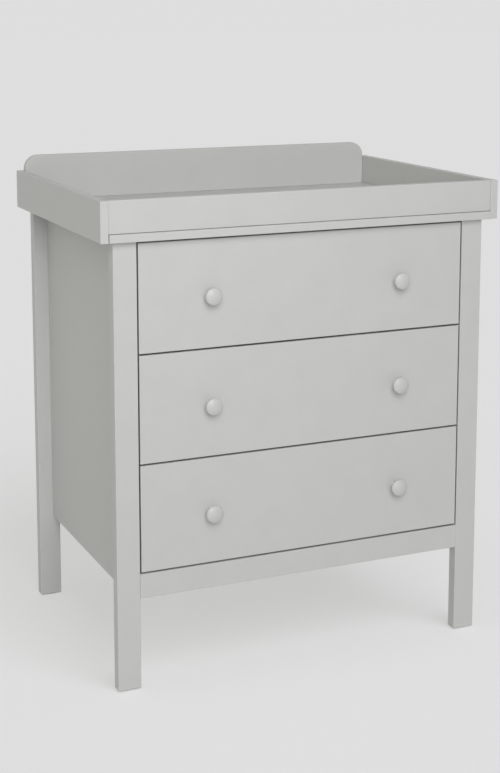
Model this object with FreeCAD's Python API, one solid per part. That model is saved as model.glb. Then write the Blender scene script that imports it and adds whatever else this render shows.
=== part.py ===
"""Changing dresser: three inset drawers, four legs, and a changing tray that lifts off the top.

Units are millimetres and +Z is up.  The drawers open towards -Y.  The origin is at the middle of the
footprint, on the floor.  Each piece is written to parts/NAME.step.
"""

import FreeCAD
import Part
import os

from FreeCAD import Vector

# ---------------------------------------------------------------- driving dimensions

# Legs and the frame they make
FRAME_WIDTH = 804.0          # over the legs, left to right
FRAME_DEPTH = 564.0          # over the legs, front to back
LEG_WIDTH = 47.0             # across the front
LEG_DEPTH = 24.0
LEG_FOOT_CHAMFER = 2.0
FRAME_TOP = 890.0            # floor to the underside of the top panel
SKIRT_HEIGHT = 186.0         # floor to the underside of the side panels and rails
EDGE_ROUND = 1.2             # softened edges of the painted boards

# Glides under the feet
GLIDE_HEIGHT = 2.0
GLIDE_RADIUS = 9.0
GLIDE_PIN_RADIUS = 1.2
GLIDE_PIN_LENGTH = 14.0

# Panels and rails
SIDE_PANEL_THICKNESS = 16.0
FRONT_RAIL_HEIGHT = 49.0
FRONT_RAIL_THICKNESS = 20.0
BACK_RAIL_HEIGHT = 60.0
BACK_RAIL_THICKNESS = 16.0
BACK_PANEL_THICKNESS = 4.0
BACK_PANEL_INSET = 4.0       # back panel behind the legs' back faces
BACK_PANEL_TONGUE = 5.0      # how far the back panel slots into each leg

# Top panel
TOP_THICKNESS = 16.0
TOP_FRONT_OVERHANG = 16.5
TOP_BACK_OVERHANG = 2.0

# Battens under the top panel
BATTEN_SIZE = 20.0
BATTEN_END_GAP = 58.0        # from the batten's ends to the legs
BATTEN_SCREW_LENGTH = 30.0
BATTEN_SCREW_INSET = 60.0    # from the batten's end to the nearest screw
BATTEN_SCREW_STEP = 40.0     # from an upright screw to its sideways neighbour

# Drawer fronts, one for each name from the top down
DRAWER_NAMES = ("top", "middle", "bottom")
DRAWER_SIDE_GAP = 3.0        # between a drawer front and a leg
DRAWER_GAP = 3.5             # between drawer fronts, and over the bottom rail
DRAWER_TOP_GAP = 5.0         # between the highest drawer front and the top panel
DRAWER_FRONT_THICKNESS = 18.0

# Drawer boxes
BOX_REAR_CLEARANCE = 72.0    # from the back end of the sides to the back rails
BOX_SIDE_THICKNESS = 12.0
BOX_BACK_THICKNESS = 12.0
BOX_BACK_DROP = 6.0          # top of the back below the top of the sides
BOX_BACK_SETBACK = 8.0       # from the back of the back to the end of the sides
BOX_ABOVE_FRONT_EDGE = 14.0  # underside of the sides above the drawer front's lower edge
BOX_BELOW_FRONT_TOP = 34.0   # top of the sides below the drawer front's upper edge
BOX_EDGE_CHAMFER = 0.8
FRONT_GROOVE_DEPTH = 6.0     # the sides sit this deep in the drawer front
BACK_GROOVE_DEPTH = 4.0      # the back sits this deep in the sides
BOTTOM_THICKNESS = 4.0
BOTTOM_GROOVE_DEPTH = 5.0
BOTTOM_ABOVE_SIDE_EDGE = 8.0

# Knobs
KNOB_RADIUS = 17.0
KNOB_PROJECTION = 26.0
KNOB_FOOT_RADIUS = 9.5
KNOB_NECK_RADIUS = 8.3       # where the neck meets the cap
KNOB_NECK_LENGTH = 9.0
KNOB_WAIST = 1.4             # how far the neck draws in
KNOB_CAP_THICKNESS = 8.5     # from the widest part of the cap to its crown
KNOB_CAP_BELLY = 1.6         # swell of the cap's underside
KNOB_RIM_WIDTH = 2.6         # from the widest part in to where the crown starts
KNOB_RIM_BELLY = 1.1
KNOB_CROWN = 3.4             # rise of the crown
KNOB_SPACING = 412.0         # centre to centre on one drawer
KNOB_BELOW_CENTRE = 3.0      # under the drawer front's middle
KNOB_SCREW_RADIUS = 2.0
KNOB_SCREW_CLEARANCE = 0.2   # hole in the drawer front
KNOB_SCREW_HEAD_RADIUS = 4.0
KNOB_SCREW_HEAD_HEIGHT = 2.4
KNOB_SCREW_BITE = 12.0       # length inside the knob

# Drawer slides: each member is bent from one strip
SLIDE_LENGTH_STEP = 50.0     # slides are sold in multiples of this, and the longest that fits is used
SLIDE_SETBACK = 2.0          # from the back of the drawer front to the front end of the slide
SLIDE_SPACE = 12.7           # between the side panel and the drawer box
SLIDE_HEIGHT = 45.0
SLIDE_STEEL = 1.2
SLIDE_RUN = 0.5              # running clearance between members
SLIDE_WEB_RUN = 0.8          # clearance between the outer and middle webs
SLIDE_CATCH_RUN = 1.7        # from the inner member's lips to the middle member's lips
SLIDE_LIP = 2.5
SLIDE_CENTRE = 70.0          # above the underside of the drawer box side
SLIDE_SCREW_INSET = 45.0     # from the member's ends to the end screws
SLIDE_SCREW_LENGTH = 14.0
INNER_SCREW_LENGTH = 9.0

# Countersunk wood screws
SCREW_RADIUS = 1.8
SCREW_HEAD_RADIUS = 3.6
SCREW_HEAD_HEIGHT = 2.2
SCREW_POINT = 3.0            # length of the tapered tip

# Dowels
DOWEL_RADIUS = 4.0
DOWEL_IN_LEG = 12.0
DOWEL_IN_PANEL = 18.0
PANEL_DOWEL_COUNT = 4        # on each upright edge of a side panel
PANEL_DOWEL_INSET = 74.0     # from the side panel's lower and upper edges
RAIL_DOWEL_INSET = 15.0      # from a rail's edges

# Panel pins in the back
PIN_RADIUS = 0.8
PIN_LENGTH = 16.0
PIN_HEAD_RADIUS = 1.7
PIN_HEAD_HEIGHT = 0.6
PINS_PER_RAIL = 5
PIN_END_INSET = 40.0         # from the legs to the outermost pins

# Changing tray
TRAY_SIDE_OVERHANG = 28.0    # side boards' outer faces beyond the legs
TRAY_BOARD = 16.0            # thickness of all four boards
TRAY_SIDE_HEIGHT = 80.0
TRAY_FRONT_OVERHANG = 14.5   # side boards' front ends beyond the legs
TRAY_BACK_OVERHANG = 3.0
TRAY_FRONT_RECESS = 4.0      # front board behind the side boards' ends
TRAY_BACK_HEIGHT = 97.0      # back board above the top panel
TRAY_BACK_CORNER = 30.0
TRAY_SIDE_CLEARANCE = 0.8    # side boards to the ends of the top panel
TRAY_REST_GAP = 0.3          # front and back boards above the top panel
TRAY_DOWEL_DEPTH = 10.0      # in the side board
TRAY_DOWEL_INSET = 16.0      # from the front board's upper and lower edges
PEG_INSET = 114.0            # from the side boards' inner faces
PEG_DROP = 8.0               # below the top panel's upper face
PEG_GRIP = 15.0              # above it
PEG_CLEARANCE = 0.5          # round the peg
PEG_HOLE_SPARE = 3.0         # hole deeper than the peg's drop

# Points closer than this count as the same when edges are picked
SAME_PLACE = 1e-6

# ---------------------------------------------------------------- places worked out from them

FRONT_MOST = -KNOB_PROJECTION                      # measured from the legs' front faces
BACK_MOST = FRAME_DEPTH + TRAY_BACK_OVERHANG
FRONT = -(FRONT_MOST + BACK_MOST) / 2.0            # Y of the legs' front faces
BACK = FRONT + FRAME_DEPTH
LEG_OUTER = FRAME_WIDTH / 2.0
LEG_INNER = LEG_OUTER - LEG_WIDTH
FRAME_FRONT = FRONT + LEG_DEPTH                    # between the legs, front to back
FRAME_BACK = BACK - LEG_DEPTH
PANEL_OUTER = LEG_INNER + SIDE_PANEL_THICKNESS
PANEL_MIDDLE = LEG_INNER + SIDE_PANEL_THICKNESS / 2.0
TOP_SURFACE = FRAME_TOP + TOP_THICKNESS
FRONT_RAIL_TOP = SKIRT_HEIGHT + FRONT_RAIL_HEIGHT
BACK_PANEL_BACK = BACK - BACK_PANEL_INSET
BACK_PANEL_FRONT = BACK_PANEL_BACK - BACK_PANEL_THICKNESS
BACK_RAIL_FRONT = BACK_PANEL_FRONT - BACK_RAIL_THICKNESS
BATTEN_FRONT = FRAME_FRONT + BATTEN_END_GAP
BATTEN_BACK = FRAME_BACK - BATTEN_END_GAP

DRAWERS_TOP = FRAME_TOP - DRAWER_TOP_GAP
DRAWERS_BOTTOM = FRONT_RAIL_TOP + DRAWER_GAP
DRAWER_PITCH = (DRAWERS_TOP - DRAWERS_BOTTOM + DRAWER_GAP) / len(DRAWER_NAMES)
DRAWER_FRONT_HEIGHT = DRAWER_PITCH - DRAWER_GAP
DRAWER_HALF_WIDTH = LEG_INNER - DRAWER_SIDE_GAP
DRAWER_FRONT_BACK = FRONT + DRAWER_FRONT_THICKNESS

BOX_OUTER = LEG_INNER - SLIDE_SPACE
BOX_INNER = BOX_OUTER - BOX_SIDE_THICKNESS
BOX_END = BACK_RAIL_FRONT - BOX_REAR_CLEARANCE
BOX_BACK_REAR = BOX_END - BOX_BACK_SETBACK
BOX_BACK_FACE = BOX_BACK_REAR - BOX_BACK_THICKNESS

SLIDE_FRONT = DRAWER_FRONT_BACK + SLIDE_SETBACK
SLIDE_LENGTH = SLIDE_LENGTH_STEP * ((BOX_END - SLIDE_FRONT) // SLIDE_LENGTH_STEP)
SLIDE_BACK = SLIDE_FRONT + SLIDE_LENGTH
MIDDLE_WEB = SLIDE_STEEL + SLIDE_WEB_RUN           # slide places measured inwards from the side panel
INNER_TIP = MIDDLE_WEB + SLIDE_STEEL + SLIDE_RUN
MIDDLE_MOUTH = INNER_TIP + SLIDE_STEEL + SLIDE_CATCH_RUN + SLIDE_STEEL
OUTER_MOUTH = MIDDLE_MOUTH + SLIDE_RUN + SLIDE_STEEL

TRAY_OUTER = LEG_OUTER + TRAY_SIDE_OVERHANG
TRAY_INNER = TRAY_OUTER - TRAY_BOARD
TRAY_FRONT = FRONT - TRAY_FRONT_OVERHANG
TRAY_BACK = BACK + TRAY_BACK_OVERHANG
TRAY_FRONT_FACE = TRAY_FRONT + TRAY_FRONT_RECESS
TRAY_FLOOR_GAP = TOP_SURFACE + TRAY_REST_GAP
TRAY_RIM = FRAME_TOP + TRAY_SIDE_HEIGHT
TRAY_BACK_TOP = TOP_SURFACE + TRAY_BACK_HEIGHT
TRAY_FRONT_MIDDLE = TRAY_FRONT_FACE + TRAY_BOARD / 2.0
TRAY_BACK_MIDDLE = TRAY_BACK - TRAY_BOARD / 2.0

SIDES = (("left", -1.0), ("right", 1.0))

UP = Vector(0, 0, 1)
RIGHT = Vector(1, 0, 0)
REARWARD = Vector(0, 1, 0)


# ---------------------------------------------------------------- shapes used more than once

def block(x, y, z):
    """A plain box from (low, high) pairs along X, Y and Z."""
    low = Vector(min(x), min(y), min(z))
    return Part.makeBox(abs(x[1] - x[0]), abs(y[1] - y[0]), abs(z[1] - z[0]), low)


def edges_at(shape, level):
    """The edges of a shape that lie at one level."""
    return [edge for edge in shape.Edges if all(abs(v.Z - level) < SAME_PLACE for v in edge.Vertexes)]


def board(x, y, z):
    """A painted board: a box with all its edges softened."""
    shape = block(x, y, z)
    return shape.makeFillet(EDGE_ROUND, shape.Edges)


def fitted_board(x, y, z):
    """A painted board cut square where its ends meet other pieces: only its edges along X are softened."""
    shape = block(x, y, z)
    long_edges = [edge for edge in shape.Edges if abs(edge.Vertexes[0].X - edge.Vertexes[1].X) > SAME_PLACE]
    return shape.makeFillet(EDGE_ROUND, long_edges)


def bare_board(x, y, z):
    """An unpainted board: a box with its upper edges eased."""
    shape = block(x, y, z)
    return shape.makeChamfer(BOX_EDGE_CHAMFER, edges_at(shape, max(z)))


def mirrored(shape):
    """The same shape on the other side of the middle plane."""
    return shape.mirror(Vector(0, 0, 0), RIGHT)


def on_side(shape, sign):
    """A shape drawn on the right-hand side, put on the side that sign names."""
    return shape if sign > 0 else mirrored(shape)


def pair(shape):
    """A right-hand shape and its left-hand twin, as two separate solids."""
    return Part.makeCompound([mirrored(shape), shape])


def rod(radius, length, start, direction):
    """A plain round rod, from the middle of one end along a direction."""
    return Part.makeCylinder(radius, length, start, direction)


def turned(profile, start, direction):
    """A solid turned from (radius, height) points along a direction."""
    points = [Vector(radius, 0, height) for radius, height in profile]
    face = Part.Face(Part.makePolygon(points + points[:1]))
    solid = face.revolve(Vector(0, 0, 0), UP, 360)
    solid.Placement = FreeCAD.Placement(start, FreeCAD.Rotation(UP, direction))
    return solid


def countersunk(length, head_height, head, direction):
    """A screw whose head lies flush at the point head and whose tip points along direction."""
    profile = [
        (0, 0),
        (SCREW_HEAD_RADIUS, 0),
        (SCREW_RADIUS, head_height),
        (SCREW_RADIUS, length - SCREW_POINT),
        (0, length),
    ]
    return turned(profile, head, direction)


def slide_screw(length, head, direction):
    """A screw whose head is as thick as the slide's steel, so it lies flush in it."""
    return countersunk(length, SLIDE_STEEL, head, direction)


def less(shape, cutters):
    """The shape with a list of cutters taken away."""
    return shape.cut(cutters) if cutters else shape


def near(shape, cutters):
    """Those cutters whose boxes meet the shape's box."""
    return [cutter for cutter in cutters if cutter.BoundBox.intersect(shape.BoundBox)]


def drilled(shape, cutters):
    """The shape with holes for those fasteners that reach it."""
    return less(shape, near(shape, cutters))


def write(name, shape):
    """Writes one piece, or one group of like pieces, to its file."""
    shape.exportStep("parts/" + name + ".step")
    print(name, len(shape.Solids), "solid(s), volume", round(shape.Volume), "valid", shape.isValid())


# ---------------------------------------------------------------- fasteners of the frame

def panel_dowels():
    """Dowels along Y between the side panels and the legs."""
    made = []
    length = DOWEL_IN_LEG + DOWEL_IN_PANEL
    lowest = SKIRT_HEIGHT + PANEL_DOWEL_INSET
    step = (FRAME_TOP - PANEL_DOWEL_INSET - lowest) / (PANEL_DOWEL_COUNT - 1)
    for number in range(PANEL_DOWEL_COUNT):
        level = lowest + number * step
        for x in (-PANEL_MIDDLE, PANEL_MIDDLE):
            made.append(rod(DOWEL_RADIUS, length, Vector(x, FRAME_FRONT - DOWEL_IN_LEG, level), REARWARD))
            made.append(rod(DOWEL_RADIUS, length, Vector(x, FRAME_BACK - DOWEL_IN_PANEL, level), REARWARD))
    return made


def rail_dowels():
    """Dowels along X between the rails and the legs."""
    made = []
    length = DOWEL_IN_LEG + DOWEL_IN_PANEL
    back_y = BACK_RAIL_FRONT + BACK_RAIL_THICKNESS / 2.0
    rails = (
        (FRONT + FRONT_RAIL_THICKNESS / 2.0, SKIRT_HEIGHT, FRONT_RAIL_TOP),
        (back_y, SKIRT_HEIGHT, SKIRT_HEIGHT + BACK_RAIL_HEIGHT),
        (back_y, FRAME_TOP - BACK_RAIL_HEIGHT, FRAME_TOP),
    )
    for y, low, high in rails:
        for level in (low + RAIL_DOWEL_INSET, high - RAIL_DOWEL_INSET):
            dowel = rod(DOWEL_RADIUS, length, Vector(LEG_INNER - DOWEL_IN_PANEL, y, level), RIGHT)
            made += [mirrored(dowel), dowel]
    return made


def foot_glides():
    """A turned glide with a pin for each foot."""
    profile = [
        (0, 0),
        (GLIDE_RADIUS, 0),
        (GLIDE_RADIUS, GLIDE_HEIGHT),
        (GLIDE_PIN_RADIUS, GLIDE_HEIGHT),
        (GLIDE_PIN_RADIUS, GLIDE_HEIGHT + GLIDE_PIN_LENGTH),
        (0, GLIDE_HEIGHT + GLIDE_PIN_LENGTH),
    ]
    x = LEG_OUTER - LEG_WIDTH / 2.0
    made = []
    for y in (FRONT + LEG_DEPTH / 2.0, BACK - LEG_DEPTH / 2.0):
        for foot_x in (-x, x):
            made.append(turned(profile, Vector(foot_x, y, 0), UP))
    return made


def batten_screws():
    """Screws up into the top panel and sideways into the side panels, near both ends of each batten."""
    made = []
    middle = BATTEN_SIZE / 2.0
    for end, inward in ((BATTEN_FRONT, 1.0), (BATTEN_BACK, -1.0)):
        upright_y = end + inward * BATTEN_SCREW_INSET
        sideways_y = upright_y + inward * BATTEN_SCREW_STEP
        upright = Vector(LEG_INNER - middle, upright_y, FRAME_TOP - BATTEN_SIZE)
        sideways = Vector(LEG_INNER - BATTEN_SIZE, sideways_y, FRAME_TOP - middle)
        for head, direction in ((upright, UP), (sideways, RIGHT)):
            screw = countersunk(BATTEN_SCREW_LENGTH, SCREW_HEAD_HEIGHT, head, direction)
            made += [mirrored(screw), screw]
    return made


def back_pins():
    """Panel pins through the back panel into both back rails."""
    profile = [
        (0, -PIN_HEAD_HEIGHT),
        (PIN_HEAD_RADIUS, -PIN_HEAD_HEIGHT),
        (PIN_HEAD_RADIUS, 0),
        (PIN_RADIUS, 0),
        (PIN_RADIUS, PIN_LENGTH),
        (0, PIN_LENGTH),
    ]
    reach = LEG_INNER - PIN_END_INSET
    step = 2.0 * reach / (PINS_PER_RAIL - 1)
    made = []
    for level in (SKIRT_HEIGHT + BACK_RAIL_HEIGHT / 2.0, FRAME_TOP - BACK_RAIL_HEIGHT / 2.0):
        for number in range(PINS_PER_RAIL):
            at = Vector(-reach + number * step, BACK_PANEL_BACK, level)
            made.append(turned(profile, at, -REARWARD))
    return made


# ---------------------------------------------------------------- drawer slides

def slide_profile(points, level):
    """A slide member: its cross-section in (distance from the side panel, height) points, run along Y."""
    ring = [Vector(LEG_INNER - inward, SLIDE_FRONT, level + height) for inward, height in points]
    return Part.Face(Part.makePolygon(ring + ring[:1])).extrude(REARWARD * SLIDE_LENGTH)


def both_ways(upper):
    """A closed outline from its upper half, mirrored about the slide's middle."""
    return upper + [(inward, -height) for inward, height in reversed(upper)]


def outer_member(level):
    """The cabinet's member: a channel with lips turned in."""
    half = SLIDE_HEIGHT / 2.0
    upper = [
        (0, half),
        (OUTER_MOUTH, half),
        (OUTER_MOUTH, half - SLIDE_STEEL - SLIDE_LIP),
        (OUTER_MOUTH - SLIDE_STEEL, half - SLIDE_STEEL - SLIDE_LIP),
        (OUTER_MOUTH - SLIDE_STEEL, half - SLIDE_STEEL),
        (SLIDE_STEEL, half - SLIDE_STEEL),
    ]
    return slide_profile(both_ways(upper), level)


def middle_member(level):
    """The half-speed member: a smaller channel caught behind the outer member's lips."""
    half = SLIDE_HEIGHT / 2.0 - SLIDE_STEEL - SLIDE_RUN
    upper = [
        (MIDDLE_WEB, half),
        (MIDDLE_MOUTH, half),
        (MIDDLE_MOUTH, half - SLIDE_STEEL - SLIDE_LIP),
        (MIDDLE_MOUTH - SLIDE_STEEL, half - SLIDE_STEEL - SLIDE_LIP),
        (MIDDLE_MOUTH - SLIDE_STEEL, half - SLIDE_STEEL),
        (MIDDLE_WEB + SLIDE_STEEL, half - SLIDE_STEEL),
    ]
    return slide_profile(both_ways(upper), level)


def inner_member(level):
    """The drawer's member: a channel with lips turned out, caught behind the middle member's lips."""
    catch = SLIDE_HEIGHT / 2.0 - 2.0 * (SLIDE_STEEL + SLIDE_RUN)
    neck = catch - SLIDE_LIP
    upper = [
        (SLIDE_SPACE, neck),
        (INNER_TIP + SLIDE_STEEL, neck),
        (INNER_TIP + SLIDE_STEEL, catch),
        (INNER_TIP, catch),
        (INNER_TIP, neck - SLIDE_STEEL),
        (SLIDE_SPACE - SLIDE_STEEL, neck - SLIDE_STEEL),
    ]
    return slide_profile(both_ways(upper), level)


def slide_screw_places():
    """Where along Y a slide member has its screws."""
    return (SLIDE_FRONT + SLIDE_SCREW_INSET, (SLIDE_FRONT + SLIDE_BACK) / 2.0, SLIDE_BACK - SLIDE_SCREW_INSET)


def outer_screws(level):
    """Right-hand screws that hold an outer member to the side panel."""
    x = LEG_INNER - SLIDE_STEEL
    return [slide_screw(SLIDE_SCREW_LENGTH, Vector(x, y, level), RIGHT) for y in slide_screw_places()]


def inner_screws(level):
    """Right-hand screws that hold an inner member to the drawer's side."""
    x = BOX_OUTER + SLIDE_STEEL
    return [slide_screw(INNER_SCREW_LENGTH, Vector(x, y, level), -RIGHT) for y in slide_screw_places()]


# ---------------------------------------------------------------- drawers

def knob_screw(x, z):
    """A pan-headed screw from inside the drawer front into the knob."""
    length = KNOB_SCREW_HEAD_HEIGHT + DRAWER_FRONT_THICKNESS + KNOB_SCREW_BITE
    profile = [
        (0, 0),
        (KNOB_SCREW_HEAD_RADIUS, 0),
        (KNOB_SCREW_HEAD_RADIUS, KNOB_SCREW_HEAD_HEIGHT),
        (KNOB_SCREW_RADIUS, KNOB_SCREW_HEAD_HEIGHT),
        (KNOB_SCREW_RADIUS, length),
        (0, length),
    ]
    return turned(profile, Vector(x, DRAWER_FRONT_BACK + KNOB_SCREW_HEAD_HEIGHT, z), -REARWARD)


def bowed(start, end, bow):
    """An arc between two (radius, height) points whose middle stands off the straight line by bow."""
    first = Vector(start[0], 0, start[1])
    last = Vector(end[0], 0, end[1])
    along = last - first
    outward = Vector(along.z, 0, -along.x).normalize()
    return Part.Arc(first, (first + last) * 0.5 + outward * bow, last).toShape()


def knob(x, z):
    """A turned mushroom knob: a waisted neck and a cap with a rounded rim and a low crown."""
    crown_radius = KNOB_RADIUS - KNOB_RIM_WIDTH
    foot = (KNOB_FOOT_RADIUS, 0)
    neck = (KNOB_NECK_RADIUS, KNOB_NECK_LENGTH)
    widest = (KNOB_RADIUS, KNOB_PROJECTION - KNOB_CAP_THICKNESS)
    shoulder = (crown_radius, KNOB_PROJECTION - KNOB_CROWN)
    sphere = (crown_radius ** 2 + KNOB_CROWN ** 2) / (2.0 * KNOB_CROWN)
    half_chord = Vector(crown_radius, 0, KNOB_CROWN).Length / 2.0
    crown_bow = sphere - (sphere ** 2 - half_chord ** 2) ** 0.5
    outline = [
        Part.makeLine(Vector(0, 0, 0), Vector(KNOB_FOOT_RADIUS, 0, 0)),
        bowed(foot, neck, -KNOB_WAIST),
        bowed(neck, widest, KNOB_CAP_BELLY),
        bowed(widest, shoulder, KNOB_RIM_BELLY),
        bowed(shoulder, (0, KNOB_PROJECTION), crown_bow),
        Part.makeLine(Vector(0, 0, KNOB_PROJECTION), Vector(0, 0, 0)),
    ]
    solid = Part.Face(Part.Wire(outline)).revolve(Vector(0, 0, 0), UP, 360)
    solid.Placement = FreeCAD.Placement(Vector(x, FRONT, z), FreeCAD.Rotation(UP, -REARWARD))
    return solid


def drawer_levels(number):
    """Lower and upper edge of a drawer front, counted from the top drawer."""
    upper = DRAWERS_TOP - number * DRAWER_PITCH
    return upper - DRAWER_FRONT_HEIGHT, upper


def write_drawer(number, name):
    """Writes one drawer with its slides, and gives back the right-hand screws that hold the slide."""
    low, high = drawer_levels(number)
    box_low = low + BOX_ABOVE_FRONT_EDGE
    box_high = high - BOX_BELOW_FRONT_TOP
    bottom_low = box_low + BOTTOM_ABOVE_SIDE_EDGE
    bottom_high = bottom_low + BOTTOM_THICKNESS
    slide_level = box_low + SLIDE_CENTRE
    knob_z = (low + high) / 2.0 - KNOB_BELOW_CENTRE
    groove_y = (DRAWER_FRONT_BACK - FRONT_GROOVE_DEPTH, DRAWER_FRONT_BACK)

    side_shape = bare_board((BOX_INNER, BOX_OUTER), (groove_y[0], BOX_END), (box_low, box_high))
    bottom_shape = block(
        (-BOX_INNER - BOTTOM_GROOVE_DEPTH, BOX_INNER + BOTTOM_GROOVE_DEPTH),
        (DRAWER_FRONT_BACK - BOTTOM_GROOVE_DEPTH, BOX_BACK_REAR),
        (bottom_low, bottom_high),
    )
    back_shape = bare_board(
        (-BOX_INNER - BACK_GROOVE_DEPTH, BOX_INNER + BACK_GROOVE_DEPTH),
        (BOX_BACK_FACE, BOX_BACK_REAR),
        (bottom_high, box_high - BOX_BACK_DROP),
    )
    bottom_groove = block(
        (-BOX_INNER - BOTTOM_GROOVE_DEPTH, BOX_INNER + BOTTOM_GROOVE_DEPTH),
        (DRAWER_FRONT_BACK - BOTTOM_GROOVE_DEPTH, BOX_END),
        (bottom_low, bottom_high),
    )

    knobs = {side: knob(sign * KNOB_SPACING / 2.0, knob_z) for side, sign in SIDES}
    knob_screws = [knob_screw(sign * KNOB_SPACING / 2.0, knob_z) for side, sign in SIDES]
    screw_holes = [
        rod(KNOB_SCREW_RADIUS + KNOB_SCREW_CLEARANCE, DRAWER_FRONT_THICKNESS,
            Vector(sign * KNOB_SPACING / 2.0, FRONT, knob_z), REARWARD)
        for side, sign in SIDES
    ]
    side_grooves = [
        block((sign * BOX_INNER, sign * BOX_OUTER), groove_y, (box_low, box_high)) for side, sign in SIDES
    ]
    fixing = inner_screws(slide_level)
    panel_fixing = outer_screws(slide_level)

    front = board((-DRAWER_HALF_WIDTH, DRAWER_HALF_WIDTH), (FRONT, DRAWER_FRONT_BACK), (low, high))
    write("drawer_front_" + name, less(front, screw_holes + side_grooves + [bottom_groove]))
    side_cut = less(side_shape, [bottom_groove, back_shape] + fixing)
    for side, sign in SIDES:
        write("drawer_side_" + name + "_" + side, on_side(side_cut, sign))
        write("knob_" + name + "_" + side, less(knobs[side], knob_screws))
    write("drawer_back_" + name, back_shape)
    write("drawer_bottom_" + name, bottom_shape)
    write("knob_screws_" + name, Part.makeCompound(knob_screws))
    write("slide_inner_" + name, pair(drilled(inner_member(slide_level), fixing)))
    write("slide_inner_screws_" + name, pair(Part.makeCompound(fixing)))
    write("slide_middle_" + name, pair(middle_member(slide_level)))
    write("slide_outer_" + name, pair(drilled(outer_member(slide_level), panel_fixing)))
    return panel_fixing


# ---------------------------------------------------------------- frame

def leg_shape(y):
    """A right-hand leg: softened edges, and a small chamfer round the foot."""
    shape = block((LEG_INNER, LEG_OUTER), y, (GLIDE_HEIGHT, FRAME_TOP))
    cut = shape.makeChamfer(LEG_FOOT_CHAMFER, edges_at(shape, GLIDE_HEIGHT))
    upper = [edge for edge in cut.Edges if max(v.Z for v in edge.Vertexes) > FRAME_TOP / 2.0]
    return cut.makeFillet(EDGE_ROUND, upper)


def write_frame(slide_fixing):
    """Legs, panels, rails, top panel, battens and all that fastens them."""
    dowels = panel_dowels() + rail_dowels()
    glides = foot_glides()
    battens = batten_screws()
    pins = back_pins()
    fasteners = dowels + glides + battens + pins + slide_fixing

    back_panel = block(
        (-LEG_INNER - BACK_PANEL_TONGUE, LEG_INNER + BACK_PANEL_TONGUE),
        (BACK_PANEL_FRONT, BACK_PANEL_BACK),
        (SKIRT_HEIGHT, FRAME_TOP),
    )
    for place, y in (("front", (FRONT, FRAME_FRONT)), ("back", (FRAME_BACK, BACK))):
        leg = leg_shape(y)
        for side, sign in SIDES:
            placed = on_side(leg, sign)
            write("leg_" + place + "_" + side, drilled(placed, fasteners + [back_panel]))

    side_panel = board((LEG_INNER, PANEL_OUTER), (FRAME_FRONT, FRAME_BACK), (SKIRT_HEIGHT, FRAME_TOP))
    for side, sign in SIDES:
        write("side_panel_" + side, drilled(on_side(side_panel, sign), fasteners))

    span = (-LEG_INNER, LEG_INNER)
    rail = fitted_board(span, (FRONT, FRONT + FRONT_RAIL_THICKNESS), (SKIRT_HEIGHT, FRONT_RAIL_TOP))
    write("bottom_rail_front", drilled(rail, fasteners))
    rail_y = (BACK_RAIL_FRONT, BACK_PANEL_FRONT)
    low_rail = block(span, rail_y, (SKIRT_HEIGHT, SKIRT_HEIGHT + BACK_RAIL_HEIGHT))
    write("back_rail_bottom", drilled(low_rail, fasteners))
    high_rail = block(span, rail_y, (FRAME_TOP - BACK_RAIL_HEIGHT, FRAME_TOP))
    write("back_rail_top", drilled(high_rail, fasteners))
    write("back_panel", drilled(back_panel, pins))

    batten = bare_board(
        (LEG_INNER - BATTEN_SIZE, LEG_INNER),
        (BATTEN_FRONT, BATTEN_BACK),
        (FRAME_TOP - BATTEN_SIZE, FRAME_TOP),
    )
    for side, sign in SIDES:
        write("top_batten_" + side, drilled(on_side(batten, sign), battens))

    top_half = TRAY_INNER - TRAY_SIDE_CLEARANCE
    top = board(
        (-top_half, top_half),
        (FRONT - TOP_FRONT_OVERHANG, BACK + TOP_BACK_OVERHANG),
        (FRAME_TOP, TOP_SURFACE),
    )
    write("top_panel", less(drilled(top, battens), peg_holes()))

    write("frame_dowels", Part.makeCompound(dowels))
    write("foot_glides", Part.makeCompound(glides))
    write("batten_screws", Part.makeCompound(battens))
    write("slide_screws", Part.makeCompound(slide_fixing))
    write("back_panel_pins", Part.makeCompound(pins))


# ---------------------------------------------------------------- changing tray

def peg_places():
    """Where the pegs stand: two under the front board and two under the back board."""
    x = TRAY_INNER - PEG_INSET
    return [(-x, TRAY_FRONT_MIDDLE), (x, TRAY_FRONT_MIDDLE), (-x, TRAY_BACK_MIDDLE), (x, TRAY_BACK_MIDDLE)]


def peg_holes():
    """Blind holes in the top panel, a little wider and deeper than the pegs."""
    radius = DOWEL_RADIUS + PEG_CLEARANCE
    depth = PEG_DROP + PEG_HOLE_SPARE
    return [rod(radius, depth, Vector(x, y, TOP_SURFACE - depth), UP) for x, y in peg_places()]


def tray_dowels():
    """Dowels from the side boards into the ends of the front and back boards."""
    low = TRAY_FLOOR_GAP + TRAY_DOWEL_INSET
    high = TRAY_RIM - TRAY_DOWEL_INSET
    start = TRAY_INNER - DOWEL_IN_PANEL
    made = []
    for y in (TRAY_FRONT_MIDDLE, TRAY_BACK_MIDDLE):
        for level in (low, high):
            dowel = rod(DOWEL_RADIUS, DOWEL_IN_PANEL + TRAY_DOWEL_DEPTH, Vector(start, y, level), RIGHT)
            made += [mirrored(dowel), dowel]
    return made


def tray_back_board():
    """The raised back board: its two upper corners are rounded, and its foot is cut square."""
    shape = block(
        (-TRAY_INNER, TRAY_INNER),
        (TRAY_BACK - TRAY_BOARD, TRAY_BACK),
        (TRAY_FLOOR_GAP, TRAY_BACK_TOP),
    )
    corners = [
        edge for edge in edges_at(shape, TRAY_BACK_TOP)
        if abs(edge.Vertexes[0].X - edge.Vertexes[1].X) < SAME_PLACE
    ]
    rounded = shape.makeFillet(TRAY_BACK_CORNER, corners)
    above_foot = [
        edge for edge in rounded.Edges
        if max(v.Z for v in edge.Vertexes) > TRAY_FLOOR_GAP + SAME_PLACE
    ]
    return rounded.makeFillet(EDGE_ROUND, above_foot)


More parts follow.
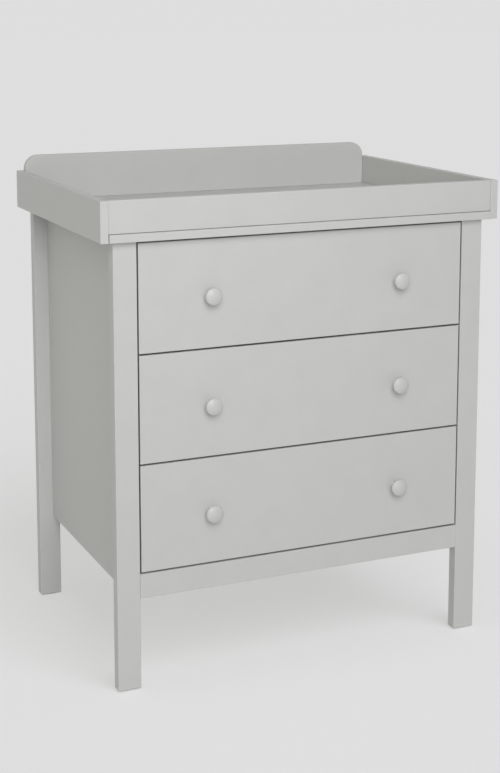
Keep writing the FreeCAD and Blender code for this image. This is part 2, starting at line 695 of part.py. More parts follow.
def write_tray():
    """The changing tray, which lifts off the top panel."""
    dowels = tray_dowels()
    pegs = [
        rod(DOWEL_RADIUS, PEG_DROP + PEG_GRIP, Vector(x, y, TOP_SURFACE - PEG_DROP), UP)
        for x, y in peg_places()
    ]
    side_board = board((TRAY_INNER, TRAY_OUTER), (TRAY_FRONT, TRAY_BACK), (FRAME_TOP, TRAY_RIM))
    for side, sign in SIDES:
        write("tray_side_" + side, drilled(on_side(side_board, sign), dowels))
    front_board = fitted_board(
        (-TRAY_INNER, TRAY_INNER),
        (TRAY_FRONT_FACE, TRAY_FRONT_FACE + TRAY_BOARD),
        (TRAY_FLOOR_GAP, TRAY_RIM),
    )
    write("tray_front", less(front_board, dowels + pegs))
    write("tray_back", less(tray_back_board(), dowels + pegs))
    write("tray_dowels", Part.makeCompound(dowels))
    write("tray_pegs", Part.makeCompound(pegs))


def main():
    """Writes every piece: the drawers first, because their slides set the screws in the side panels."""
    os.makedirs("parts", exist_ok=True)
    slide_fixing = []
    for number, name in enumerate(DRAWER_NAMES):
        for screw in write_drawer(number, name):
            slide_fixing += [mirrored(screw), screw]
    write_frame(slide_fixing)
    write_tray()


main()
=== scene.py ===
"""Looks of a nursery changing dresser: its finishes, turned knobs, fixings, floor, light and camera.

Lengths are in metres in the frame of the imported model: +Z is up, the drawers open towards -Y and the
origin is at the middle of the footprint, on the floor.  Colours are linear.
"""

import logging
import math
from collections.abc import Iterable, Sequence
from dataclasses import dataclass
from enum import Enum

import bmesh
import bpy
from bpy.types import Material, Mesh, Node, NodeSocket, NodeTree, Object
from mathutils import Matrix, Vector


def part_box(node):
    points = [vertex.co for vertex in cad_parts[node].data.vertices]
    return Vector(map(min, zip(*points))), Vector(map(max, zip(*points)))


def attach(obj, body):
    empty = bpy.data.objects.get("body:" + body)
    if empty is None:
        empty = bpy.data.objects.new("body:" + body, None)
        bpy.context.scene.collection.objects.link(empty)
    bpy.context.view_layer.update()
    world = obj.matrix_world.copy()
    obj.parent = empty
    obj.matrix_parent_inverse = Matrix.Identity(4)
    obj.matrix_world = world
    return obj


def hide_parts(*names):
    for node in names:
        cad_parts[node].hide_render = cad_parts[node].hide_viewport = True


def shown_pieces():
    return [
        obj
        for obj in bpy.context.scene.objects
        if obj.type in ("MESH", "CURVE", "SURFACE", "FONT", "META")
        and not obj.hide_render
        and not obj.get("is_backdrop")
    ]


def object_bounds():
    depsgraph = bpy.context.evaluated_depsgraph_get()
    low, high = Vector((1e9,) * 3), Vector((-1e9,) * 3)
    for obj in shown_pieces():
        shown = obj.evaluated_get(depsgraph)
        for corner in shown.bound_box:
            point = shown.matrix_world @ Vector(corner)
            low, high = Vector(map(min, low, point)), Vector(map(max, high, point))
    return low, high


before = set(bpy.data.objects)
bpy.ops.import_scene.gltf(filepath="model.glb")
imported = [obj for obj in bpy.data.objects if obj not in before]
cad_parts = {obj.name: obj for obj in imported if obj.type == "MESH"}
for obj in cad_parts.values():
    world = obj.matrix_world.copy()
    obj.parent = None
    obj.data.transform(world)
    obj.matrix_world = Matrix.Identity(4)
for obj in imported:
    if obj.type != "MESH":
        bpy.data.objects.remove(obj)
CAD_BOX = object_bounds()

MM = 0.001
WELD = 0.01 * MM                 # points closer than this are one point
CREASE = math.radians(35.0)      # edges sharper than this stay crisp on a smooth piece
NOISE_SPAN = (0.3, 0.7)          # nearly all of a noise lies in this range
LOT_STEP = Vector((0.371, 0.613, 0.829))     # how far apart the boards of two lots are cut

Span = tuple[float, float]
Colour = tuple[float, float, float]
Profile = list[tuple[float, float]]
Feed = NodeSocket | Material | Vector | tuple | float | int | bool | str
Feeds = dict[str | int, Feed]
Sockets = bpy.types.bpy_prop_collection

SOCKET_KINDS = {
    float: "NodeSocketFloat",
    int: "NodeSocketInt",
    Vector: "NodeSocketVector",
    Mesh: "NodeSocketGeometry",
    Material: "NodeSocketMaterial",
}

log = logging.getLogger("dresser")


class Axis(Enum):
    """An axis along which a board's grain or its thickness lies, with the turn that brings it onto X."""

    X = (0.0, 0.0, 0.0)
    Y = (0.0, 0.0, -math.pi / 2)
    Z = (0.0, math.pi / 2, 0.0)


class Slot(Enum):
    """The record's material slots of the new pieces; each remade piece holds one, which nothing here reads.
    """

    PAINTED_WOOD = "painted_wood"
    ZINC_STEEL = "zinc_steel"
    BEECH = "beech_dowel"


class Effect(Enum):
    """Shader node groups that more than one finish uses; a method of EffectTree builds each."""

    # edges; on paint their lighter colour is both rubbed paint and a painted highlight
    EDGE = "softened edges"
    # dust and painted shade in inside corners, and painted shade inside narrow gaps
    CREVICE = "dust in corners"
    SPRAY = "sprayed coat"
    GRAIN = "wood grain"
    ROLLED = "rolled metal"
    FACES = "face directions"


# ---- node trees

class Graph:
    """A node tree being wired up, with short calls for the nodes that most trees use."""

    def __init__(self, tree: NodeTree) -> None:
        """Starts with the tree emptied."""
        self.tree = tree
        tree.nodes.clear()

    def node(self, kind: str, feeds: Feeds | None = None, **settings: object) -> Node:
        """Adds one node.

        Args:
            kind: the node's type name.
            feeds: a value or another node's output for each input that isn't left at its default.
            settings: the node's own options.

        Returns:
            The new node.
        """
        made = self.tree.nodes.new(kind)
        for name, value in settings.items():
            setattr(made, name, value)
        for name, feed in (feeds or {}).items():
            self.connect(feed, made.inputs[name])
        return made

    def connect(self, feed: Feed, socket: NodeSocket) -> None:
        """Links an output to an input, or writes a plain value into it.

        Args:
            feed: the output or the value.
            socket: the input.
        """
        if isinstance(feed, NodeSocket):
            self.tree.links.new(feed, socket)
        elif socket.type == "RGBA" and len(feed) == 3:
            socket.default_value = (*feed, 1.0)
        else:
            socket.default_value = feed

    def inputs(self, kinds: dict[str, type | float | int]) -> Sockets:
        """Gives a group its named inputs.

        Args:
            kinds: the type of each input, or its default value.

        Returns:
            The sockets that they come out of.
        """
        for name, kind in kinds.items():
            plain = isinstance(kind, type)
            socket_kind = SOCKET_KINDS[kind if plain else type(kind)]
            made = self.tree.interface.new_socket(name=name, in_out="INPUT", socket_type=socket_kind)
            if not plain:
                made.default_value = kind
        return self.node("NodeGroupInput").outputs

    def emit(self, feeds: dict[str, NodeSocket], kind: type = float) -> None:
        """Gives a group its named outputs.

        Args:
            feeds: what comes out of each.
            kind: their type.
        """
        for name in feeds:
            self.tree.interface.new_socket(name=name, in_out="OUTPUT", socket_type=SOCKET_KINDS[kind])
        self.node("NodeGroupOutput", feeds)

    def math(self, operation: str, first: Feed, second: Feed = 0.0) -> NodeSocket:
        """The result of one step of arithmetic, such as MULTIPLY."""
        return self.node("ShaderNodeMath", {0: first, 1: second}, operation=operation).outputs[0]

    def vector(self, operation: str, first: Feed, second: Feed) -> NodeSocket:
        """The result of one step of arithmetic on vectors."""
        return self.node("ShaderNodeVectorMath", {0: first, 1: second}, operation=operation).outputs["Vector"]

    def drawn(self, place: Feed, share: float) -> NodeSocket:
        """Coordinates of which only a share of X is read, so that a pattern on them is longer along X."""
        return self.vector("MULTIPLY", place, (share, 1.0, 1.0))

    def point(self, **parts: Feed) -> NodeSocket:
        """A vector from its parts, where those that aren't named are 0."""
        return self.node("ShaderNodeCombineXYZ", parts).outputs["Vector"]

    def spread(self, value: Feed, source: Span, target: Span = (0.0, 1.0)) -> NodeSocket:
        """A number taken from one range to another, and kept inside it."""
        feeds = dict(enumerate((value, *source, *target)))
        return self.node("ShaderNodeMapRange", feeds, clamp=True).outputs[0]

    def noise(self, place: Feed, size: Feed, detail: float, roughness: float) -> NodeSocket:
        """Cloudy noise from 0 to 1 with blots of about one size, and finer layers over them."""
        scale = self.math("DIVIDE", 1.0, size)
        return self.node("ShaderNodeTexNoise", {
            "Vector": place, "Scale": scale, "Detail": detail, "Roughness": roughness,
        }).outputs["Fac"]

    def bump(self, height: Feed, distance: float) -> NodeSocket:
        """A normal tilted by a height, of which 1 stands out by the distance."""
        return self.node("ShaderNodeBump", {"Height": height, "Distance": distance}).outputs["Normal"]

    def blend(self, share: Feed, under: Feed, over: Feed, kind: str = "MIX") -> NodeSocket:
        """Two colours mixed, by the share of the upper one."""
        feeds = {0: share, 6: under, 7: over}
        return self.node("ShaderNodeMix", feeds, data_type="RGBA", blend_type=kind).outputs[2]

    def coats(self, base: Feed, *coats: tuple[Feed, float, Colour]) -> NodeSocket:
        """Lays colours over one another.

        Args:
            base: the lowest colour.
            coats: where each further colour shows, how strongly, and the colour.

        Returns:
            The colour that comes of it.
        """
        for mask, strength, colour in coats:
            base = self.blend(self.math("MULTIPLY", mask, strength), base, colour)
        return base

    def take(self, effect: Effect, feeds: Feeds | None = None) -> Sockets:
        """Places a shared group, which is built the first time that it is asked for.

        Args:
            effect: which effect's.
            feeds: its own values here.

        Returns:
            Its outputs.
        """
        built = bpy.data.node_groups.get(effect.value)
        if built is None:
            built = bpy.data.node_groups.new(effect.value, "ShaderNodeTree")
            getattr(EffectTree(built), effect.name.lower())()
        return self.node("ShaderNodeGroup", feeds, node_tree=built).outputs


# ---- effects that finishes share

class EffectTree(Graph):
    """The shader group of one effect, whose patterns are read at its Vector input."""

    SAMPLES = 6                  # rays for each look round an edge or into a corner
    LOOK_ROUND = "ShaderNodeAmbientOcclusion"

    def patches(self, given: Sockets, least: float) -> NodeSocket:
        """Cloudy patches, from the least share to 1."""
        clouds = self.noise(given["Vector"], given["Patch Size"], 3.0, 0.6)
        return self.spread(clouds, NOISE_SPAN, (least, 1.0))

    def edge(self) -> None:
        """Marks the edges of a piece, where a coat is thin and hands rub it, and where paint takes a painted
        highlight.
        """
        given = self.inputs({"Vector": Vector, "Width": 1.5 * MM, "Patch Size": 25 * MM})
        rounded = self.node("ShaderNodeBevel", {"Radius": given["Width"]}, samples=self.SAMPLES)
        plain = self.node("ShaderNodeNewGeometry").outputs["Normal"]
        feeds = {0: rounded.outputs["Normal"], 1: plain}
        match = self.node("ShaderNodeVectorMath", feeds, operation="DOT_PRODUCT").outputs["Value"]
        turned = self.spread(match, (0.99, 0.80))
        self.emit({"Edge": self.math("MULTIPLY", turned, self.patches(given, 0.35))})

    def crevice(self) -> None:
        """Marks inside corners, where it gets dusty and shade is painted, and the insides of narrow gaps
        between pieces, where shade is painted.
        """
        given = self.inputs({
            "Vector": Vector, "Reach": 12 * MM, "Gap Reach": 7 * MM, "Patch Size": 18 * MM,
        })
        own, around = (
            self.node(self.LOOK_ROUND, {"Distance": given[reach]}, samples=self.SAMPLES, only_local=local)
            for reach, local in (("Reach", True), ("Gap Reach", False))
        )
        closed = self.spread(own.outputs["AO"], (0.95, 0.35))
        self.emit({
            "Crevice": self.math("MULTIPLY", closed, self.patches(given, 0.5)),
            "Gap": self.spread(around.outputs["AO"], (0.34, 0.08)),
        })

    def spray(self) -> None:
        """A sprayed coat: fine orange peel, cloudy thickness and the wood that telegraphs through it."""
        given = self.inputs({
            "Vector": Vector, "Peel Size": 1.4 * MM, "Cloud Size": 60 * MM, "Fibre Size": 3.5 * MM,
        })
        place = given["Vector"]
        self.emit({
            "Peel": self.noise(place, given["Peel Size"], 1.5, 0.45),
            "Cloud": self.noise(place, given["Cloud Size"], 4.0, 0.6),
            "Fibre": self.noise(self.drawn(place, 0.03), given["Fibre Size"], 3.0, 0.55),
        })

    def grain(self) -> None:
        """Wood grain along X: bent year rings, fibres, short flecks and cloudy tones."""
        given = self.inputs({
            "Vector": Vector, "Ring Size": 14 * MM, "Fibre Size": 0.9 * MM, "Fleck Size": 1.1 * MM,
            "Cloud Size": 70 * MM,
        })
        place = given["Vector"]
        sweep = self.node("ShaderNodeTexNoise", {
            "Vector": self.vector("MULTIPLY", place, (0.8, 3.0, 3.0)), "Scale": 2.2, "Detail": 2.0,
        }).outputs["Color"]
        bend = self.vector("MULTIPLY", sweep, (0.0, 0.11, 0.11))
        rings = self.node("ShaderNodeTexWave", {
            "Vector": self.vector("ADD", self.drawn(place, 0.06), bend),
            "Scale": self.math("DIVIDE", 0.32, given["Ring Size"]),
            "Distortion": 2.5,
            "Detail": 3.0,
            "Detail Scale": 1.2,
        }, wave_type="BANDS", bands_direction="DIAGONAL", wave_profile="SAW").outputs["Fac"]
        flecks = self.noise(self.drawn(place, 0.12), given["Fleck Size"], 1.0, 0.4)
        self.emit({
            "Rings": rings,
            "Fibres": self.noise(self.drawn(place, 0.02), given["Fibre Size"], 3.0, 0.6),
            "Flecks": self.spread(flecks, (0.66, 0.74)),
            "Clouds": self.noise(self.drawn(place, 0.3), given["Cloud Size"], 3.0, 0.5),
        })

    def rolled(self) -> None:
        """Plated strip: lines from the rolls along X, the crystals of the plating, and dull clouds."""
        given = self.inputs({
            "Vector": Vector, "Line Size": 0.35 * MM, "Crystal Size": 2.5 * MM, "Cloud Size": 30 * MM,
        })
        place = given["Vector"]
        feeds = {"Vector": place, "Scale": self.math("DIVIDE", 1.0, given["Crystal Size"])}
        cells = self.node("ShaderNodeTexVoronoi", feeds).outputs["Color"]
        self.emit({
            "Lines": self.noise(self.drawn(place, 0.01), given["Line Size"], 2.0, 0.6),
            "Crystals": self.node("ShaderNodeSeparateColor", {0: cells}).outputs["Red"],
            "Clouds": self.noise(place, given["Cloud Size"], 3.0, 0.6),
        })

    def faces(self) -> None:
        """Tells which way a face looks, from -1 to 1 along each axis of the piece."""
        normal = self.node("ShaderNodeTexCoord").outputs["Normal"]
        parts = self.node("ShaderNodeSeparateXYZ", {0: normal}).outputs
        self.emit({axis.name: parts[axis.name] for axis in Axis})


# ---- finishes

@dataclass(frozen=True)
class Finish:
    """A surface finish, whose material is made once and then shared."""

    name: str
    colour: Colour
    roughness: float
    grain: Axis = Axis.X
    lot: int = 0

    def material(self) -> Material:
        """The finish as a material.

        Returns:
            The material, in which patterns are read along the piece's grain.
        """
        made = bpy.data.materials.get(self.name)
        if made is None:
            made = bpy.data.materials.new(self.name)
            made.use_nodes = True
            graph = Graph(made.node_tree)
            own = graph.node("ShaderNodeTexCoord").outputs["Object"]
            feeds = {"Vector": own, "Location": self.lot * LOT_STEP, "Rotation": self.grain.value}
            place = graph.node("ShaderNodeMapping", feeds).outputs["Vector"]
            shader = graph.node("ShaderNodeBsdfPrincipled", self.surface(graph, place))
            graph.node("ShaderNodeOutputMaterial", {"Surface": shader.outputs["BSDF"]})
        return made

    def sheen(self, graph: Graph, pattern: NodeSocket, less: float, more: float) -> NodeSocket:
        """The roughness, which a pattern makes a little less and a little more."""
        return graph.spread(pattern, NOISE_SPAN, (self.roughness - less, self.roughness + more))

    def surface(self, graph: Graph, place: NodeSocket) -> Feeds:
        """What the finish feeds to its shader."""
        raise NotImplementedError


@dataclass(frozen=True)
class Paint(Finish):
    """Satin paint sprayed over wood."""

    colour: Colour = (0.585, 0.585, 0.573)
    roughness: float = 0.46
    telegraph: float = 0.3           # how much of the wood shows through as relief
    cloud: float = 0.014             # how much lighter and darker the coat gets
    thin_edge: float = 0.05          # how much of the lighter edge colour shows on an edge: rubbed paint and a painted highlight
    dust_and_shade: float = 0.07               # how much dust and painted shade show in an inside corner
    gap: float = 0.93                # how much painted shade darkens the inside of a narrow gap
    # lighter paint on edges: rubbed thin, and a painted highlight
    wear_and_highlight_colour: Colour = (0.92, 0.91, 0.88)
    # colour of dust and painted shade in inside corners
    dust_and_shade_colour: Colour = (0.30, 0.285, 0.255)
    # near-black painted shade inside narrow gaps
    gap_shade_colour: Colour = (0.04, 0.04, 0.04)

    def surface(self, graph: Graph, place: NodeSocket) -> Feeds:
        """Wires up the paint.

        Args:
            graph: the material's tree.
            place: where patterns are read.

        Returns:
            What feeds the shader.
        """
        coat = graph.take(Effect.SPRAY, {"Vector": place})
        edge = graph.take(Effect.EDGE, {"Vector": place})["Edge"]
        hollows = graph.take(Effect.CREVICE, {"Vector": place})
        tone = graph.spread(coat["Cloud"], NOISE_SPAN, (1.0 - self.cloud, 1.0 + self.cloud))
        # Edges get rubbed paint and a painted highlight, corners dust and painted shade, narrow gaps painted
        # shade.
        colour = graph.coats(
            graph.blend(1.0, self.colour, tone, "MULTIPLY"),
            (edge, self.thin_edge, self.wear_and_highlight_colour),
            (hollows["Crevice"], self.dust_and_shade, self.dust_and_shade_colour),
            (hollows["Gap"], self.gap, self.gap_shade_colour),
        )
        dull = graph.math("MULTIPLY", hollows["Crevice"], 0.15)
        relief = graph.math("ADD", coat["Peel"], graph.math("MULTIPLY", coat["Fibre"], self.telegraph))
        return {
            "Base Color": colour,
            "Roughness": graph.math("ADD", self.sheen(graph, coat["Cloud"], 0.04, 0.04), dull),
            "Normal": graph.bump(relief, 0.02 * MM),
        }


@dataclass(frozen=True)
class BareWood(Finish):
    """Unpainted wood under a thin sealer, with darker end grain."""

    colour: Colour = (0.72, 0.60, 0.44)
    roughness: float = 0.55
    dark: Colour = (0.50, 0.37, 0.235)
    contrast: float = 0.45           # how much of the dark colour shows in the rings
    pale: Colour = (0.80, 0.69, 0.53)
    # paler wood rubbed on edges
    wear_and_highlight_colour: Colour = (0.86, 0.77, 0.62)
    # colour of dust and painted shade in inside corners
    dust_and_shade_colour: Colour = (0.26, 0.21, 0.15)

    def surface(self, graph: Graph, place: NodeSocket) -> Feeds:
        """Wires up the wood.

        Args:
            graph: the material's tree.
            place: where patterns are read.

        Returns:
            What feeds the shader.
        """
        wood = graph.take(Effect.GRAIN, {"Vector": place})
        rings = graph.math("MULTIPLY", wood["Rings"], self.contrast)
        facing = graph.math("ABSOLUTE", graph.take(Effect.FACES)[self.grain.name])
        colour = graph.coats(
            self.colour,
            (rings, 1.0, self.dark),
            (graph.spread(wood["Fibres"], (0.35, 0.7)), 0.28, self.dark),
            (wood["Flecks"], 0.22, self.dark),
            (graph.spread(wood["Clouds"], (0.35, 0.65)), 0.22, self.pale),
            (graph.spread(facing, (0.80, 0.95)), 0.55, self.dark),
            (graph.take(Effect.EDGE, {"Vector": place})["Edge"], 0.14, self.wear_and_highlight_colour),
            # dust and painted shade in inside corners
            (graph.take(Effect.CREVICE, {"Vector": place})["Crevice"], 0.18, self.dust_and_shade_colour),
        )
        relief = graph.math("ADD", wood["Fibres"], graph.math("MULTIPLY", rings, 0.6))
        return {
            "Base Color": colour,
            "Roughness": self.sheen(graph, wood["Fibres"], 0.06, 0.08),
            "Normal": graph.bump(relief, 0.06 * MM),
        }


@dataclass(frozen=True)
class FacedBoard(Finish):
    """Thin hardboard with a pale facing, brown on its cut edges; the grain is its thickness."""

    colour: Colour = (0.66, 0.65, 0.62)
    roughness: float = 0.62
    core: Colour = (0.24, 0.155, 0.09)
    # colour of dust and painted shade in inside corners
    dust_and_shade_colour: Colour = (0.26, 0.24, 0.21)
    cloud: float = 0.012             # how much lighter and darker the facing gets
    screen: float = 290.0            # scale of the press screen's mark

    def surface(self, graph: Graph, place: NodeSocket) -> Feeds:
        """Wires up the board.

        Args:
            graph: the material's tree.
            place: where patterns are read.

        Returns:
            What feeds the shader.
        """
        felt = graph.noise(place, 1.2 * MM, 4.0, 0.65)
        clouds = graph.noise(place, 45 * MM, 3.0, 0.55)
        tone = graph.spread(clouds, NOISE_SPAN, (1.0 - self.cloud, 1.0 + self.cloud))
        facing = graph.math("ABSOLUTE", graph.take(Effect.FACES)[self.grain.name])
        colour = graph.coats(
            graph.blend(1.0, self.colour, tone, "MULTIPLY"),
            (graph.spread(felt, (0.55, 0.8)), 0.12, self.core),
            (graph.spread(facing, (0.5, 0.2)), 1.0, self.core),
            # dust and painted shade in inside corners
            (graph.take(Effect.CREVICE, {"Vector": place})["Crevice"], 0.15, self.dust_and_shade_colour),
        )
        feeds = {"Vector": place, "Scale": self.screen}
        waves = (graph.node("ShaderNodeTexWave", feeds, bands_direction=way) for way in "YZ")
        screen = graph.math("MULTIPLY", *(wave.outputs["Fac"] for wave in waves))
        return {
            "Base Color": colour,
            "Roughness": self.sheen(graph, felt, 0.05, 0.08),
            "Normal": graph.bump(graph.math("ADD", felt, graph.math("MULTIPLY", screen, 0.6)), 0.05 * MM),
        }


@dataclass(frozen=True)
class PlatedSteel(Finish):
    """Steel strip or wire with a bright zinc plate."""

    colour: Colour = (0.62, 0.63, 0.65)
    roughness: float = 0.34
    tarnish: Colour = (0.46, 0.46, 0.45)
    # brighter plating rubbed on edges
    wear_and_highlight_colour: Colour = (0.80, 0.80, 0.81)
    # colour of grease and painted shade in inside corners
    grease_and_shade_colour: Colour = (0.16, 0.15, 0.13)

    def surface(self, graph: Graph, place: NodeSocket) -> Feeds:
        """Wires up the plate.

        Args:
            graph: the material's tree.
            place: where patterns are read.

        Returns:
            What feeds the shader.
        """
        plate = graph.take(Effect.ROLLED, {"Vector": place})
        crevice = graph.take(Effect.CREVICE, {"Vector": place, "Reach": 5 * MM})["Crevice"]
        colour = graph.coats(
            self.colour,
            (plate["Crystals"], 0.22, self.tarnish),
            (graph.spread(plate["Clouds"], (0.4, 0.7)), 0.35, self.tarnish),
            (graph.take(Effect.EDGE, {"Vector": place, "Width": 0.5 * MM})["Edge"], 0.5, self.wear_and_highlight_colour),
            # grease and painted shade in inside corners
            (crevice, 0.45, self.grease_and_shade_colour),
        )
        dull = graph.math("MULTIPLY", crevice, 0.2)
        return {
            "Base Color": colour,
            "Roughness": graph.math("ADD", self.sheen(graph, plate["Lines"], 0.07, 0.12), dull),
            "Normal": graph.bump(plate["Lines"], 0.01 * MM),
            "Metallic": 1.0,
        }


@dataclass(frozen=True)
class Moulding(Finish):
    """Moulded nylon with a fine spark-eroded texture."""

    shade: Colour = (0.55, 0.53, 0.48)
    scuff_colour: Colour = (0.42, 0.39, 0.34)

    def surface(self, graph: Graph, place: NodeSocket) -> Feeds:
        """Wires up the nylon.

        Args:
            graph: the material's tree.
            place: where patterns are read.

        Returns:
            What feeds the shader.
        """
        pits = graph.noise(place, 0.4 * MM, 2.0, 0.6)
        clouds = graph.noise(place, 6 * MM, 3.0, 0.6)
        colour = graph.coats(
            self.colour,
            (graph.spread(clouds, (0.4, 0.7)), 0.3, self.shade),
            (graph.take(Effect.EDGE, {"Vector": place, "Width": 0.8 * MM})["Edge"], 0.3, self.scuff_colour),
        )
        return {
            "Base Color": colour,
            "Roughness": self.sheen(graph, pits, 0.0, 0.12),
            "Normal": graph.bump(pits, 0.02 * MM),
        }


PAINTED_UPRIGHT = Paint("paint on uprights", grain=Axis.Z, lot=1)
PAINTED_RAIL = Paint("paint on rails", lot=2)
PAINTED_FRONT = Paint("paint on drawer fronts", lot=3, telegraph=0.15)
PAINTED_PANEL = Paint("paint on side panels", grain=Axis.Z, lot=4, telegraph=0.1)
PAINTED_TOP = Paint("paint on the top", lot=5, telegraph=0.1)
PAINTED_BOARD_ACROSS = Paint("paint on the tray's long boards", lot=6)
PAINTED_BOARD_DEEP = Paint("paint on the tray's side boards", grain=Axis.Y, lot=7)
PAINTED_KNOB = Paint("paint on the knobs", roughness=0.36, grain=Axis.Y, lot=8, telegraph=0.05)
FACING = FacedBoard("pale facing on the back panel", grain=Axis.Y, lot=1)
FACED_BOTTOM = FacedBoard("pale facing on drawer bottoms", roughness=0.58, grain=Axis.Z, lot=2)
ZINC_STRIP = PlatedSteel("zinc on the slides", grain=Axis.Y)
ZINC_FIXING = PlatedSteel("zinc on screws and pins", roughness=0.30, grain=Axis.Z, lot=1)
NYLON = Moulding("moulded nylon", (0.78, 0.78, 0.75), 0.48)


def birch(grain: Axis, lot: int) -> BareWood:
    """Sealed birch for one board, whose lot sets its pattern apart from the others'."""
    return BareWood(f"sealed birch {grain.name} {lot}", grain=grain, lot=lot)


def beech(grain: Axis) -> BareWood:
    """Bare beech for dowels and pegs that lie along an axis."""
    return BareWood(f"bare beech {grain.name}", (0.66, 0.47, 0.30), 0.62, grain, 3, (0.45, 0.28, 0.16), 0.3)


Finishes = dict[str, Finish]


# ---- reading and replacing CAD nodes

def new_piece(name: str, mesh: Mesh) -> Object:
    """Puts a mesh into the scene as a piece at the origin.

    Args:
        name: the piece's name.
        mesh: its mesh, already in place.

    Returns:
        The piece.
    """
    piece = bpy.data.objects.new(name, mesh)
    bpy.context.scene.collection.objects.link(piece)
    return piece


@dataclass(frozen=True)
class Rod:
    """One separate solid of a CAD node that is longer than it is wide, such as a screw."""

    head: Vector                 # middle of its wider end
    direction: Vector            # from that end to the other
    length: float


def read_rods(node: str) -> list[Rod]:
    """Finds the separate solids of a CAD node.

    Args:
        node: the node's name.

    Returns:
        One rod for each of its solids.
    """
    shell = bmesh.new()
    shell.from_mesh(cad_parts[node].data)
    bmesh.ops.remove_doubles(shell, verts=shell.verts, dist=WELD)
    waiting = set(shell.verts)
    rods = []
    while waiting:
        group = [waiting.pop()]
        for vertex in group:
            near = {edge.other_vert(vertex) for edge in vertex.link_edges} & waiting
            waiting -= near
            group.extend(near)
        rods.append(measure_rod([vertex.co.copy() for vertex in group]))
    shell.free()
    return sorted(rods, key=lambda rod: tuple(rod.head))


def measure_rod(points: list[Vector]) -> Rod:
    """Measures one solid from its points.

    Args:
        points: the solid's vertices.

    Returns:
        The rod.
    """
    low, high = (Vector(pick(point[axis] for point in points) for axis in range(3)) for pick in (min, max))
    size = high - low
    axis = max(range(3), key=lambda each: size[each])
    along = Vector(float(each == axis) for each in range(3))

    def end_radius(end: Vector) -> float:
        """The solid's radius close to one end."""
        close = [point for point in points if abs(point[axis] - end[axis]) < size[axis] / 20.0]
        return max(((point - end) - along * (point - end).dot(along)).length for point in close)

    middle = (low + high) / 2.0
    first = middle - along * size[axis] / 2.0
    last = middle + along * size[axis] / 2.0
    if end_radius(first) >= end_radius(last):
        head, direction = first, along
    else:
        head, direction = last, -along
    return Rod(head, direction, round(size[axis], 5))


@dataclass
class Remade:
    """A piece made again in more detail, which replaces its CAD node."""

    node: str
    body: str
    finish: Finish
    slot: Slot

    def hand_over(self, shell: bmesh.types.BMesh, ending: str) -> None:
        """Puts the shape into the scene, smooth but for its crisp edges, and ties it to its body.

        Args:
            shell: the shape, which is used up.
            ending: what the piece's name ends in.
        """
        name = f"{self.node}_{ending}"
        mesh = bpy.data.meshes.new(name)
        shell.to_mesh(mesh)
        shell.free()
        mesh.materials.append(self.finish.material())
        mesh.polygons.foreach_set("use_smooth", [True] * len(mesh.polygons))
        mesh.set_sharp_from_angle(angle=CREASE)
        piece = new_piece(name, mesh)
        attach(piece, self.body)
        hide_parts(self.node)
        log.info("%s: %d faces, rides on %s", name, len(mesh.polygons), self.body)


# ---- fixings

class FixingTree(Graph):
    """A Geometry Nodes tree that sets one turned fixing on each point of its carrier mesh."""

    DIRECTION = "direction"

    def __init__(self, sizes: "Headed | Dowel") -> None:
        """Starts the tree with an input for each of the sizes."""
        super().__init__(bpy.data.node_groups.new("fixings", "GeometryNodeTree"))
        self.given = self.inputs({"Carrier": Mesh, **vars(sizes), "Material": Material})

    def ring(self, segments: Feed) -> NodeSocket:
        """A circle of radius 1, as a closed curve."""
        feeds = {"Resolution": segments, "Radius": 1.0}
        return self.node("GeometryNodeCurvePrimitiveCircle", feeds).outputs["Curve"]

    def swept(self, path: NodeSocket, outline: NodeSocket, radius: Feed) -> NodeSocket:
        """A closed mesh, from an outline of radius 1 that runs along a path."""
        feeds = {"Curve": path, "Profile Curve": outline, "Scale": radius, "Fill Caps": True}
        return self.node("GeometryNodeCurveToMesh", feeds).outputs["Mesh"]

    def turned(self, stations: list[tuple[Feed, Feed]], outline: NodeSocket) -> NodeSocket:
        """A solid whose outline is scaled at stations along Z.

        Args:
            stations: height and radius of each station.
            outline: the closed curve that is swept, of radius 1.

        Returns:
            The closed mesh.
        """
        line = self.node("GeometryNodeMeshLine", {"Count": len(stations), "Offset": (0.0, 0.0, MM)})
        index = self.node("GeometryNodeInputIndex").outputs["Index"]
        heights, radii = (self.pick(index, values) for values in zip(*stations))
        feeds = {"Geometry": line.outputs["Mesh"], "Position": self.point(Z=heights)}
        moved = self.node("GeometryNodeSetPosition", feeds).outputs["Geometry"]
        path = self.node("GeometryNodeMeshToCurve", {"Mesh": moved}).outputs["Curve"]
        return self.swept(path, outline, radii)

    def pick(self, index: NodeSocket, values: Sequence[Feed]) -> NodeSocket:
        """Chooses a number by a point's index.

        Args:
            index: the index.
            values: a number for each.

        Returns:
            The chosen number.
        """
        switch = self.node("GeometryNodeIndexSwitch", data_type="FLOAT")
        while len(switch.index_switch_items) < len(values):
            switch.index_switch_items.new()
        self.connect(index, switch.inputs["Index"])
        for number, value in enumerate(values, start=1):
            self.connect(value, switch.inputs[number])
        return switch.outputs[0]

    def set_out(self, solid: NodeSocket) -> NodeTree:
        """Sets the solid on every carrier point, along that point's direction.

        Args:
            solid: the fixing, with its head at the origin and its length along +Z.

        Returns:
            The finished tree.
        """
        kind = "GeometryNodeInputNamedAttribute"
        direction = self.node(kind, {"Name": self.DIRECTION}, data_type="FLOAT_VECTOR").outputs["Attribute"]
        turn = self.node("FunctionNodeAlignRotationToVector", {"Vector": direction}, axis="Z")
        feeds = {"Points": self.given["Carrier"], "Instance": solid, "Rotation": turn.outputs["Rotation"]}
        spread = self.node("GeometryNodeInstanceOnPoints", feeds).outputs["Instances"]
        real = self.node("GeometryNodeRealizeInstances", {"Geometry": spread}).outputs["Geometry"]
        feeds = {"Geometry": real, "Material": self.given["Material"]}
        self.emit({"Geometry": self.node("GeometryNodeSetMaterial", feeds).outputs["Geometry"]}, Mesh)
        return self.tree


